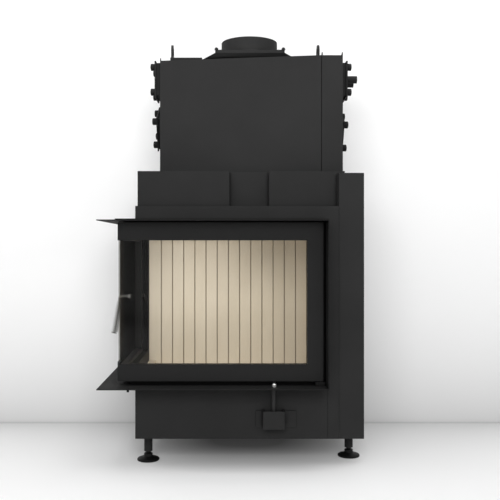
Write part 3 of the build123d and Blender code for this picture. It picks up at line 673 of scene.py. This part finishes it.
# Hexagon nuts with washers on the flange studs
WASHER_PROFILE = [(4.1, 0.0), (7.0, 0.0), (7.0, 1.0), (4.1, 1.0), (4.1, 0.0)]
NUT_PROFILE = [(4.0, 1.0), (6.2, 1.0), (6.6, 1.5), (6.6, 5.0), (6.1, 5.6), (4.0, 5.6), (4.0, 1.0)]
STUD_INSET, STUD_HEIGHT = 4.5 * MM, 8 * MM


def build_flange_nuts(bm):
    (left, front, bottom), (right, rear, stud_top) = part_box("flue_flange")
    seat = stud_top - STUD_HEIGHT
    for x in (left + STUD_INSET, right - STUD_INSET):
        for y in (front + STUD_INSET, rear - STUD_INSET):
            lathe(bm, in_metres(WASHER_PROFILE), (x, y, seat), (0, 0, 1), 28)
            lathe(bm, in_metres(NUT_PROFILE), (x, y, seat), (0, 0, 1), 6)


new_piece("flange_nuts", build_flange_nuts, "fireplace", "latch_steel")


# Studio: a floor that turns up into a wall close behind the object, seen from the front only
WALL_Y = 0.353
STAGE = {"half_width": 6.0, "front": -6.0, "wall_top": 5.0, "bend": 0.002, "sunk": 0.0002}
STAGE_GLOW = 0.16
CORNER_SHADE = {"reach": 0.34, "groove_shade": 0.345}
CREASE_SHADE = {"reach": 0.004, "groove_shade": 0.2}
BODY_SHADE = {"centre": (0.06, 0.14), "half": (0.44, 0.47), "deepest": 0.24}


def shade_by_the_wall(graph):
    """A tone that falls softly towards the corner of floor and wall, with a line in the corner."""
    from_wall = graph.math("SUBTRACT", WALL_Y, graph.axis("Y"))
    from_corner = graph.math("ADD", graph.axis("Z"), from_wall)
    tone = 1.0
    for shade in (CORNER_SHADE, CREASE_SHADE):
        fall = graph.math("EXPONENT", graph.math("DIVIDE", from_corner, -shade["reach"]))
        tone = graph.math("SUBTRACT", tone, graph.math("MULTIPLY", fall, shade["groove_shade"]))
    return tone


def shade_under_body(graph):
    """A tone that falls on the floor under the body, inside a rounded rectangle."""
    offsets = []
    for axis, centre, half in zip("XY", BODY_SHADE["centre"], BODY_SHADE["half"]):
        offset = graph.math("ABSOLUTE", graph.math("SUBTRACT", graph.axis(axis), centre))
        offsets.append(graph.math("POWER", graph.math("DIVIDE", offset, half), 3.0))
    from_body = graph.math("POWER", graph.math("ADD", *offsets), 1 / 3)
    under = graph.between(from_body, BODY_SHADE["deepest"], 1.0, 0.3, 1.0)
    on_wall = graph.math("SUBTRACT", 1.0, graph.math("LESS_THAN", graph.axis("Z"), 1 * MM))
    return graph.math("MAXIMUM", under, on_wall)


def stage_surface():
    """Matt white paper that glows a little where it is seen, and is clear from behind."""
    graph = Graph("studio_paper")
    soft = graph.noise(1.2, 2.0)
    tone = graph.math("MULTIPLY", shade_by_the_wall(graph), shade_under_body(graph))
    color = graph.blend(graph.between(soft, 0.0, 1.0), (0.79, 0.79, 0.79), (0.81, 0.81, 0.81))
    color = graph.blend(1.0, color, tone, "MULTIPLY")
    paper = graph.principled(color, 0.95, specular=0.05)
    glow = graph.add("ShaderNodeEmission")
    graph.join(tone, glow.inputs["Color"])
    strength = graph.math("MULTIPLY", seen_rays(graph.tree), STAGE_GLOW)
    graph.join(strength, glow.inputs["Strength"])
    lit = graph.add("ShaderNodeAddShader")
    graph.join(paper.outputs[0], lit.inputs[0])
    graph.join(glow.outputs[0], lit.inputs[1])
    side = graph.add("ShaderNodeNewGeometry")
    hidden = graph.add("ShaderNodeBsdfTransparent")
    mixed = graph.add("ShaderNodeMixShader")
    graph.join(side.outputs["Backfacing"], mixed.inputs["Fac"])
    graph.join(lit.outputs[0], mixed.inputs[1])
    graph.join(hidden.outputs[0], mixed.inputs[2])
    graph.join(mixed.outputs[0], graph.output.inputs["Surface"])
    return graph.material


def build_stage():
    """One sheet: the floor, a tight bend, and the wall."""
    mesh = bpy.data.meshes.new("studio")
    bm = bmesh.new()
    half, bend, steps = STAGE["half_width"], STAGE["bend"], 8
    profile = [(STAGE["front"], 0.0), (WALL_Y - bend, 0.0)]
    for k in range(1, steps + 1):
        turn = math.pi / 2 * k / steps
        profile.append((WALL_Y - bend + bend * math.sin(turn), bend - bend * math.cos(turn)))
    profile.append((WALL_Y, STAGE["wall_top"]))
    lines = [[bm.verts.new((x, y, z - STAGE["sunk"])) for y, z in profile] for x in (-half, half)]
    for k in range(len(profile) - 1):
        bm.faces.new((lines[0][k], lines[1][k], lines[1][k + 1], lines[0][k + 1]))
    bm.to_mesh(mesh)
    bm.free()
    mesh.materials.append(stage_surface())
    studio = bpy.data.objects.new("studio", mesh)
    bpy.context.scene.collection.objects.link(studio)
    return studio


# Lamps and world; only the overhead lamp is mirrored in gloss, and the back lamp lights no stage
LAMPS = {
    "front": {
        "place": (-0.2, -4.2, 2.0),
        "target": (0.0, 0.1, 0.6),
        "size": (3.0, 1.6),
        "power": 132,
    },
    "over": {
        "place": (0.0, -0.9, 3.4),
        "target": (0.0, 0.1, 0.6),
        "size": (3.0, 2.0),
        "power": 45,
        "mirrored": True,
    },
    "back": {
        "place": (0.6, 3.6, 2.4),
        "target": (0.0, 0.1, 0.7),
        "size": (3.0, 2.0),
        "power": 110,
        "object_only": True,
    },
    "chamber": {
        "place": (-0.14, -0.19, 0.772),
        "target": (-0.2, 0.14, 0.50),
        "size": (0.26, 0.03),
        "power": 0.85,
    },
}
AMBIENT, SEEN_WORLD = 0.3, 0.95


def area_light(name, lamp, pieces):
    light = bpy.data.lights.new(name, "AREA")
    light.shape = "RECTANGLE"
    light.size, light.size_y = lamp["size"]
    light.energy = lamp["power"]
    holder = bpy.data.objects.new(name, light)
    holder.location = lamp["place"]
    holder.visible_glossy = lamp.get("mirrored", False)
    holder.visible_camera = False
    heading = Vector(lamp["target"]) - Vector(lamp["place"])
    holder.rotation_euler = heading.to_track_quat("-Z", "Y").to_euler()
    bpy.context.scene.collection.objects.link(holder)
    if lamp.get("object_only", False):
        holder.light_linking.receiver_collection = pieces
        holder.light_linking.blocker_collection = pieces


def object_pieces(studio):
    """Every mesh but the studio, for the lamp that lights the back of the object alone."""
    group = bpy.data.collections.new("object_pieces")
    for thing in bpy.data.objects:
        if thing.type == "MESH" and thing != studio:
            group.objects.link(thing)
    return group


def build_lights(studio):
    """A plain ambient level, a white world where it is seen, and the lamps."""
    world = bpy.data.worlds.new("studio_world")
    world.use_nodes = True
    sky = world.node_tree.nodes["Background"]
    sky.inputs["Color"].default_value = (1.0, 1.0, 1.0, 1.0)
    level = world.node_tree.nodes.new("ShaderNodeMapRange")
    level.inputs["To Min"].default_value = AMBIENT
    level.inputs["To Max"].default_value = SEEN_WORLD
    world.node_tree.links.new(seen_rays(world.node_tree), level.inputs["Value"])
    world.node_tree.links.new(level.outputs["Result"], sky.inputs["Strength"])
    bpy.context.scene.world = world
    pieces = object_pieces(studio)
    for name, lamp in LAMPS.items():
        area_light(name, lamp, pieces)


# Camera, level and square to the front, as the photograph was taken
CAMERA = {"place": (0.0025, -2.6915, 0.718), "lens": 54.0, "shift": (0.036, -0.008)}


def build_camera():
    data = bpy.data.cameras.new("camera")
    data.sensor_width = 36.0
    data.lens = CAMERA["lens"]
    data.shift_x, data.shift_y = CAMERA["shift"]
    data.clip_start = 0.05
    camera = bpy.data.objects.new("camera", data)
    camera.location = CAMERA["place"]
    camera.rotation_euler = (math.radians(90), 0, 0)
    bpy.context.scene.collection.objects.link(camera)
    bpy.context.scene.camera = camera


build_lights(build_stage())
build_camera()
bpy.context.scene.view_settings.view_transform = "Standard"
